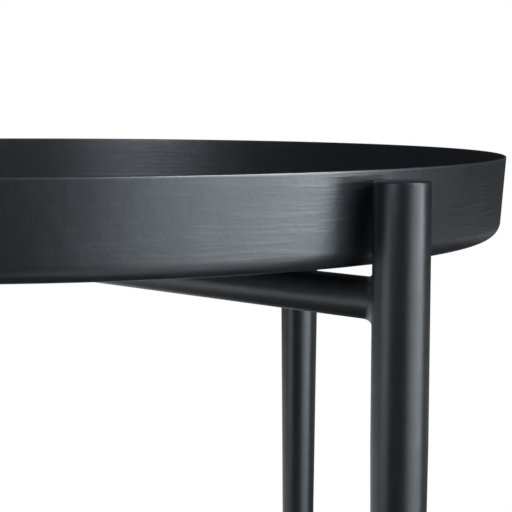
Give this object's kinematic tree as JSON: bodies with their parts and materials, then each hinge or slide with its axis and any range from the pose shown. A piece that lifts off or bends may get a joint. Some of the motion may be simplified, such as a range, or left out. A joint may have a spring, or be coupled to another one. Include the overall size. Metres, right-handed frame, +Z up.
{
  "type": "folding tray table",
  "caption": "Round table with a removable, deep-walled steel tray held between four tapered posts on a folding crossed frame.",
  "frame": {"origin": "on the floor under the middle of the tray", "axes": "+Z up, -Y the front, +X to the right seen from the front"},
  "size_m": [0.44, 0.44, 0.525],
  "materials": {
    "tray_coat": "satin black powder coat, slightly bluish, with fine orange peel",
    "frame_coat": "satin black powder coat, slightly smoother on the tubes",
    "foot_plastic": "moulded, fine grain",
    "pad_rubber": "matt moulded rubber",
    "washer_nylon": "natural nylon",
    "plated_steel": "bright zinc plating"
  },
  "bodies": {
    "fixed_frame": {"leg_front_right": "frame_coat", "leg_cap_front_right": "frame_coat", "foot_front_right": "foot_plastic", "weld_front_right": "frame_coat", "tray_pad_front_right": "pad_rubber", "leg_back_left": "frame_coat", "leg_cap_back_left": "frame_coat", "foot_back_left": "foot_plastic", "weld_back_left": "frame_coat", "tray_pad_back_left": "pad_rubber", "crossbar_over": "frame_coat", "pivot_bush": "frame_coat", "pivot_bolt": "plated_steel"},
    "swing_frame": {"leg_back_right": "frame_coat", "leg_cap_back_right": "frame_coat", "foot_back_right": "foot_plastic", "weld_back_right": "frame_coat", "tray_pad_back_right": "pad_rubber", "leg_front_left": "frame_coat", "leg_cap_front_left": "frame_coat", "foot_front_left": "foot_plastic", "weld_front_left": "frame_coat", "tray_pad_front_left": "pad_rubber", "crossbar_under": "frame_coat", "pivot_sleeve": "frame_coat", "friction_washer": "washer_nylon", "flat_washer": "plated_steel", "disc_spring": "plated_steel"},
    "tray": {"tray": "tray_coat"}
  },
  "joints": [
    {"name": "frame_fold", "type": "hinge", "parent": "fixed_frame", "child": "swing_frame", "pos_m": [0, 0, 0.4802], "axis": [0, 0, 1], "range_deg": [-76, 58]},
    {"name": "tray_lift", "type": "slide", "parent": "fixed_frame", "child": "tray", "axis": [0, 0, 1], "range_m": [0, 0.12]}
  ]
}
